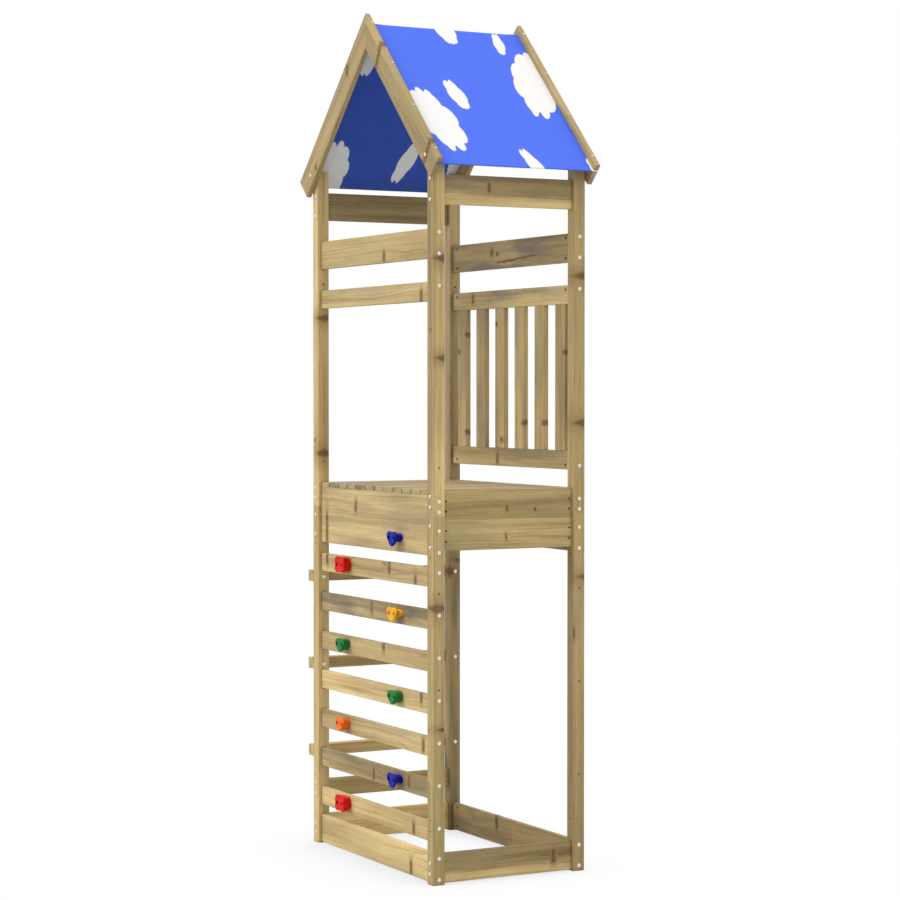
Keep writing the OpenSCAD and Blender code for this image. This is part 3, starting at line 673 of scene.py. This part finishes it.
# Rings from the plank to the face and in over it: share of the depth, growth of the lobes, then the
# shares of the width and height of a necked hold and of a full-bodied one
HOLD_RINGS = [
    (0.00, 0.10, 0.80, 0.56, 0.84, 0.80), (0.08, 0.15, 0.80, 0.56, 0.86, 0.82),
    (0.30, 0.35, 0.76, 0.52, 0.90, 0.88), (0.48, 0.60, 0.76, 0.53, 0.94, 0.93),
    (0.62, 0.80, 0.82, 0.68, 0.97, 0.97), (0.76, 0.95, 0.96, 0.92, 0.99, 0.99),
    (0.88, 1.00, 1.00, 1.00, 1.00, 1.00), (0.96, 0.95, 0.95, 0.93, 0.95, 0.94),
    (1.00, 0.80, 0.84, 0.78, 0.84, 0.80), (0.985, 0.55, 0.60, 0.55, 0.60, 0.57),
    (0.965, 0.30, 0.34, 0.31, 0.34, 0.32), (0.955, 0.00, 0.10, 0.09, 0.10, 0.09),
]
# Kinds of hold: share of the width and of the height, lobes and their turn in degrees, depth of the lobes
# and of the notch at the top, whether necked
HoldKind = namedtuple("HoldKind", "wide tall lobes turn lobe_depth notch necked")
HOLD_KINDS = {
    "necked": HoldKind(0.95, 0.90, 3, -90, 0.15, 0.15, True),
    "four_lobes": HoldKind(1.14, 1.08, 4, 45, 0.15, 0.12, False),
    "three_lobes": HoldKind(0.88, 0.82, 3, -90, 0.13, 0.20, False),
}
HOLD_KIND_OF = {"hold_blue": "necked", "hold_yellow": "necked", "hold_red": "four_lobes",
                "hold_green": "three_lobes", "hold_orange": "three_lobes"}
NOTCH_REACH = math.radians(24)
SHARP_EDGE = math.radians(38)
HOLD_POINTS = 96
HOLD_STEPS = 5


def between(before, start, end, after, t):
    """Value at t, which goes from 0 at start to 1 at end, on a smooth cubic curve through four values."""
    return 0.5 * (2 * start + (end - before) * t + (2 * before - 5 * start + 4 * end - after) * t * t
                  + (3 * start - before - 3 * end + after) * t ** 3)


def through(points, steps):
    """Smooth curve through the points, with that many steps between each two."""
    ends = [points[0], *points, points[-1]]
    curve = []
    for four in zip(ends, ends[1:], ends[2:], ends[3:]):
        for k in range(steps):
            curve.append([between(*values, k / steps) for values in zip(*four)])
    return curve + [points[-1]]


def hold_ring(kind, ring):
    """Points round one ring of a hold, with its lobes and its notch."""
    depth, growth, neck_w, neck_h, full_w, full_h = ring
    half_w = HOLD_W / 2 * kind.wide * (neck_w if kind.necked else full_w)
    half_h = HOLD_H / 2 * kind.tall * (neck_h if kind.necked else full_h)
    points = []
    for k in range(HOLD_POINTS):
        angle = 2 * math.pi * k / HOLD_POINTS
        lobe = kind.lobe_depth * math.cos(kind.lobes * (angle - math.radians(kind.turn)))
        dent = kind.notch * math.exp(-((angle - math.pi / 2) / NOTCH_REACH) ** 2)
        radius = 1 + growth * lobe - (growth if kind.necked else 1) * dent
        points.append((half_w * radius * math.cos(angle), -HOLD_DEPTH * depth,
                       half_h * radius * math.sin(angle)))
    return points


def hold_mesh(name):
    """Lobed hold, its back at y = 0 and its face towards -Y."""
    bm = bmesh.new()
    rings = [[bm.verts.new(point) for point in hold_ring(HOLD_KINDS[name], ring)]
             for ring in through(HOLD_RINGS, HOLD_STEPS)]
    for low, high in zip(rings, rings[1:]):
        for k in range(HOLD_POINTS):
            after = (k + 1) % HOLD_POINTS
            bm.faces.new((low[k], low[after], high[after], high[k]))
    bm.faces.new(rings[-1])
    bm.faces.new(rings[0][::-1])
    bmesh.ops.recalc_face_normals(bm, faces=bm.faces)
    return mesh_of(bm, "hold_" + name)


def cutter_mesh():
    """Cutter for a hold's two stepped bolt holes."""
    bm = bmesh.new()
    along_y = Matrix.Rotation(math.pi / 2, 4, "X")
    steps = ((HOLD_BORE, CUT_OVERRUN, -HOLD_DEPTH),
             (HOLD_RECESS, HOLD_RECESS_DEPTH - HOLD_DEPTH, -HOLD_DEPTH - CUT_OVERRUN))
    for side in (-1, 1):
        for radius, start, end in steps:
            made = bmesh.ops.create_cone(bm, cap_ends=True, segments=BORE_SEGMENTS, radius1=radius,
                                         radius2=radius, depth=abs(end - start))
            place = Matrix.Translation((side * HOLD_BOLT_GAP / 2, (start + end) / 2, 0))
            bmesh.ops.transform(bm, matrix=place @ along_y, verts=made["verts"])
    return mesh_of(bm, "hold_cutter")


def drilled_hold(name):
    """Mesh of one kind of hold with its bolt holes, smooth up to the sharp edges."""
    body = add("hold_body", hold_mesh(name))
    cutter = add("hold_cutter", cutter_mesh())
    cut = body.modifiers.new("holes", "BOOLEAN")
    cut.operation = "DIFFERENCE"
    cut.solver = "EXACT"
    cut.use_self = True
    cut.object = cutter
    mesh = applied(body)
    bpy.data.objects.remove(cutter)
    mesh.shade_smooth()
    mesh.set_sharp_from_angle(angle=SHARP_EDGE)
    return mesh


def make_holds():
    """A moulded hold in place of each plain one, in the same box."""
    shapes = {name: drilled_hold(name) for name in HOLD_KINDS}
    materials = {slot: plastic(slot) for slot in HOLD_COLOURS}
    for node in [name for name in nodes if name.startswith("climbing_hold_")]:
        slot = slot_of[node]
        hold = add(node.replace("climbing_", ""), shapes[HOLD_KIND_OF[slot]].copy())
        fit(hold.data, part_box(node))
        give(hold, materials[slot])
        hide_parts(node)
        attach(hold, "root")


# Tarpaulin

# Cloud shapes as circles (x, y, radius) inside a square of side 2, which is then squeezed across
CLOUD_SHAPES = {
    "large": [(0.00, 0.00, 0.62), (-0.50, 0.34, 0.36), (-0.56, -0.22, 0.36), (0.42, 0.44, 0.36),
              (0.50, -0.30, 0.38), (-0.06, 0.62, 0.34), (0.12, -0.62, 0.34), (-0.26, -0.56, 0.34),
              (-0.84, 0.10, 0.17), (0.78, 0.14, 0.22), (0.82, -0.34, 0.16), (-0.78, 0.46, 0.14)],
    "small": [(-0.45, 0.22, 0.48), (0.05, 0.42, 0.55), (0.05, -0.42, 0.55), (0.48, 0.18, 0.48),
              (-0.52, -0.36, 0.40), (0.55, -0.36, 0.38), (-0.76, 0.30, 0.22), (-0.78, -0.25, 0.20),
              (0.80, -0.08, 0.20)],
}
# Clouds as (distance down from the ridge, right slope positive; y; half length; width as a share of the
# length; turn in degrees; shape)
CLOUDS = [
    (0.010, -0.003, 0.075, 0.52, 8, "small"), (0.065, 0.190, 0.060, 0.36, -5, "small"),
    (0.285, 0.240, 0.185, 0.43, -10, "large"), (0.364, -0.090, 0.078, 0.42, 9, "small"),
    (0.505, -0.215, 0.165, 0.48, 10, "large"), (0.720, 0.068, 0.085, 0.32, 14, "small"),
    (0.730, 0.300, 0.060, 0.35, 8, "small"),
    (-0.150, -0.235, 0.075, 0.42, 0, "small"), (-0.640, -0.208, 0.125, 0.46, -10, "large"),
    (-0.600, 0.066, 0.100, 0.34, 9, "small"), (-0.600, 0.280, 0.090, 0.42, 6, "small"),
    (-0.350, 0.190, 0.130, 0.40, -8, "large"), (-0.130, 0.080, 0.070, 0.42, 10, "small"),
    (-0.330, 0.020, 0.070, 0.42, -8, "small"),
]
PRINT_EDGE = 1.5 * MM
# Width of the woven tape, and the tones of its threads
WEAVE_STEP, WEAVE_TONES = 1.5 * MM, (0.96, 1.02)
# Uneven ink: waves per metre, detail and roughness of its noise, and the values between which it changes
INK_NOISE, INK_RANGE = (14.0, 4.0, 0.6), (0.3, 0.7)
TARP_ROUGHNESS = (0.50, 0.60)
TARP_BUMP, TARP_BUMP_DEPTH = 0.2, 0.3 * MM
TARP_SPECULAR = 0.15


def cloud_group(name, circles):
    """Mask of one cloud: a union of circles, squeezed across and turned."""
    tree, given, finish = group_tree(
        name, {"Place": "Vector", "Centre": "Vector", "Half": "Vector", "Turn": "Float"}, {"Mask": "Float"})
    away = tree.vector("SUBTRACT", given["Place"], given["Centre"])
    turned = tree.node("ShaderNodeVectorRotate", {"Vector": away, "Angle": given["Turn"]},
                       rotation_type="Z_AXIS").outputs[0]
    unit = tree.vector("DIVIDE", turned, given["Half"])
    nearest = None
    for x, y, r in circles:
        reach = tree.math("SUBTRACT", tree.vector("DISTANCE", unit, (x, y, 0.0)), r)
        nearest = reach if nearest is None else tree.math("MINIMUM", nearest, reach)
    soft = tree.times(nearest, tree.split(given["Half"])[1])
    return finish(Mask=tree.smooth(soft, -PRINT_EDGE, PRINT_EDGE, 1.0, 0.0))


def cloud_mask(tree, place):
    """One on the printed clouds, else zero."""
    shapes = {name: cloud_group("cloud_" + name, circles) for name, circles in CLOUD_SHAPES.items()}
    mask = 0.0
    for down, y, half, narrow, turn, shape in CLOUDS:
        cloud = tree.node("ShaderNodeGroup", {
            "Place": place, "Centre": (down, y, 0.0), "Half": (half, half * narrow, 1.0),
            "Turn": -math.radians(turn)}, node_tree=shapes[shape])
        mask = tree.math("MAXIMUM", mask, cloud.outputs[0])
    return mask


def tarp_material():
    """Woven sheet with white clouds on blue. Its under side has painted light: a darker blue, and clouds of a
    bluish white, as where light shines through the sheet.
    """
    material, tree, shader = material_tree("tarp")
    place = tree.place("UV")
    cloud = cloud_mask(tree, place)
    x, y, _ = tree.split(place)
    warp = tree.math("SINE", tree.times(x, 2 * math.pi / WEAVE_STEP))
    weft = tree.math("SINE", tree.times(y, 2 * math.pi / WEAVE_STEP))
    weave = tree.times(warp, weft)
    thread = tree.smooth(weave, -1.0, 1.0, *WEAVE_TONES)
    ink = tree.noise(place, *INK_NOISE)
    normal = tree.node("ShaderNodeNewGeometry").outputs["Normal"]
    # Painted light on the under side: other colours where the sheet faces down
    under = tree.math("LESS_THAN", tree.split(normal)[2], 0.0)
    top_blue = tree.mix(tree.smooth(ink, *INK_RANGE), TARP_BLUE, TARP_BLUE_PALE)
    blue = tree.mix(under, top_blue, UNDER_BLUE_PAINTED_LIGHT)
    white = tree.mix(under, TARP_WHITE, UNDER_WHITE_PAINTED_LIGHT)
    tree.feed(shader, {
        "Base Color": tree.shaded(tree.mix(cloud, blue, white), thread),
        "Roughness": tree.smooth(ink, *INK_RANGE, *TARP_ROUGHNESS),
        "Normal": tree.bump(weave, TARP_BUMP, TARP_BUMP_DEPTH),
        "Specular IOR Level": TARP_SPECULAR})
    return material


TARP_THICK = 1.2 * MM
STEPS_DOWN, STEPS_ALONG = 180, 84
# Greatest sag between ridge and eaves, and how full its curve is
TARP_SAG, SAG_POWER = 3.0 * MM, 0.7
# Ripples: their height, and two crossing waves in radians per metre down the slope and along the ridge
TARP_RIPPLE, RIPPLE_WAVES = 0.9 * MM, ((9.0, 7.0), (-4.0, 13.0))
# Rounding over the ridge, and how fast it grows away from the clamped edges
RIDGE_ROUND, RIDGE_GROWTH = 3.0 * MM, 3


def tarp_point(down, y, reach, apex, clamp_y):
    """Where the flat sheet's point at y, this far down from the ridge, comes to lie. Right is positive."""
    free = max(0.0, 1 - (y / clamp_y) ** 2)
    side = abs(down) * math.cos(SLOPE)
    rounding = RIDGE_ROUND * min(1.0, RIDGE_GROWTH * free)
    sag = TARP_SAG * math.sin(math.pi * min(1.0, abs(down) / reach)) ** SAG_POWER
    ripple = TARP_RIPPLE * math.prod(math.sin(a * down + b * y) for a, b in RIPPLE_WAVES)
    slack = free * (sag + ripple)
    x = side - slack * math.sin(SLOPE)
    z = apex - math.hypot(side, rounding) - slack * math.cos(SLOPE)
    return math.copysign(x, down), y, z


def tarp_mesh(low, high, reach):
    """The sheet's middle surface as a grid, with the places on the flat sheet as its UV."""
    clamp_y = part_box("rafter_front_right")[1].y
    apex = high.z - TARP_THICK / 2 / math.cos(SLOPE)
    bm = bmesh.new()
    uv = bm.loops.layers.uv.new("flat")
    flat_place = {}
    grid = []
    for i in range(STEPS_DOWN + 1):
        down = reach * (2 * i / STEPS_DOWN - 1)
        column = []
        for j in range(STEPS_ALONG + 1):
            y = low.y + (high.y - low.y) * j / STEPS_ALONG
            vert = bm.verts.new(tarp_point(down, y, reach, apex, clamp_y))
            flat_place[vert] = (down, y)
            column.append(vert)
        grid.append(column)
    for a, b in zip(grid, grid[1:]):
        for j in range(STEPS_ALONG):
            face = bm.faces.new((a[j], b[j], b[j + 1], a[j + 1]))
            face.smooth = True
            for loop in face.loops:
                loop[uv].uv = flat_place[loop.vert]
    return mesh_of(bm, "tarp_sheet")


def make_tarp():
    """One sheet over the ridge, clamped flat along its two edges and slightly slack between them."""
    low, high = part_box("roof_tarp")
    reach = (high.x - TARP_THICK / 2 * math.sin(SLOPE)) / math.cos(SLOPE)
    sheet = add("tarp_sheet", tarp_mesh(low, high, reach))
    thick = sheet.modifiers.new("thickness", "SOLIDIFY")
    thick.thickness = TARP_THICK
    thick.offset = 0.0
    sheet = add("tarp_sheet", applied(sheet))
    give(sheet, tarp_material())
    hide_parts("roof_tarp")
    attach(sheet, "root")


# Stage: floor, light and camera

# Kinds of ray to which the floor and the sky show as white
SEEN_BY = ("Camera", "Glossy", "Transmission")
FLOOR_SIZE = 60.0
FLOOR_BOUNCE, FLOOR_ROUGHNESS = (0.47, 0.465, 0.46, 1.0), 0.9
# Soft shade at the tower's foot: its reach, its darkest share and the samples taken
CONTACT_REACH, CONTACT_SHADE, CONTACT_SAMPLES = 0.45, 0.72, 16


def seen(tree):
    """One where the ray is of one of the kinds that see white, else zero."""
    path = tree.node("ShaderNodeLightPath").outputs
    found = 0.0
    for kind in SEEN_BY:
        found = tree.math("MAXIMUM", found, path[f"Is {kind} Ray"])
    return found


def make_floor():
    """Floor that shows as plain white, with a soft shade where the tower stands on it."""
    bm = bmesh.new()
    bmesh.ops.create_grid(bm, x_segments=1, y_segments=1, size=FLOOR_SIZE / 2)
    floor = add("floor", mesh_of(bm, "floor"))
    material, tree, shader = material_tree("floor")
    tree.feed(shader, {"Base Color": FLOOR_BOUNCE, "Roughness": FLOOR_ROUGHNESS})
    open_sky = tree.openness(CONTACT_REACH, CONTACT_SAMPLES)
    strength = tree.smooth(open_sky, 0.0, 1.0, CONTACT_SHADE, 1.0)
    white = tree.node("ShaderNodeEmission", {"Color": WHITE, "Strength": strength}).outputs[0]
    mixed = tree.node("ShaderNodeMixShader", {0: seen(tree), 1: shader.outputs[0], 2: white}).outputs[0]
    tree.feed(material.node_tree.nodes["Material Output"], {"Surface": mixed})
    give(floor, material)


# Strength of the sky at the horizon and overhead
SKY_LOW, SKY_HIGH = 0.78, 1.0
# The sky is cool on the left and warm on the right, between these parts of its reach along X
SKY_COOL, SKY_WARM, SKY_TURN = (0.98, 1.0, 1.05, 1.0), (1.0, 0.97, 0.88, 1.0), (-0.3, 0.8)
# Key light: where it comes from, how strong it is and how broad
KEY_FROM = Vector((-0.15, -0.62, 0.76))
KEY_STRENGTH = 1.4
KEY_SPREAD = math.radians(30)


def make_light():
    """Soft studio light from the whole sky, and a broad key light from the front."""
    world = bpy.data.worlds.new("studio")
    world.use_nodes = True
    bpy.context.scene.world = world
    tree = Tree(world.node_tree)
    right, _, up = tree.split(tree.place("Generated"))
    lit = tree.smooth(up, 0.0, 1.0, SKY_LOW, SKY_HIGH)
    tint = tree.mix(tree.smooth(right, *SKY_TURN), SKY_COOL, SKY_WARM)
    plain = seen(tree)
    strength = tree.node("ShaderNodeMapRange", {0: plain, 1: 0.0, 2: 1.0, 3: lit, 4: 1.0}).outputs[0]
    tree.feed(world.node_tree.nodes["Background"], {
        "Color": tree.mix(plain, tint, WHITE), "Strength": strength})
    key = bpy.data.lights.new("key", "SUN")
    key.energy = KEY_STRENGTH
    key.angle = KEY_SPREAD
    add("key", key).rotation_euler = KEY_FROM.to_track_quat("Z", "Y").to_euler()


# Camera, fitted to the photo's straight edges: place, angles in degrees, lens and sensor in millimetres
CAMERA_AT = Vector((7.5913, -4.0373, 1.6215))
CAMERA_YAW, CAMERA_PITCH = 61.87, -1.356
CAMERA_LENS, CAMERA_SENSOR = 98.67, 36.0


def make_camera():
    data = bpy.data.cameras.new("camera")
    data.lens = CAMERA_LENS
    data.sensor_width = CAMERA_SENSOR
    camera = add("camera", data)
    camera.location = CAMERA_AT
    camera.rotation_euler = (math.radians(90 + CAMERA_PITCH), 0.0, math.radians(CAMERA_YAW))
    bpy.context.scene.camera = camera


make_camera()
make_floor()
make_light()
finish_timber()
finish_metal()
make_holds()
make_tarp()
bpy.context.scene.view_settings.view_transform = "Standard"
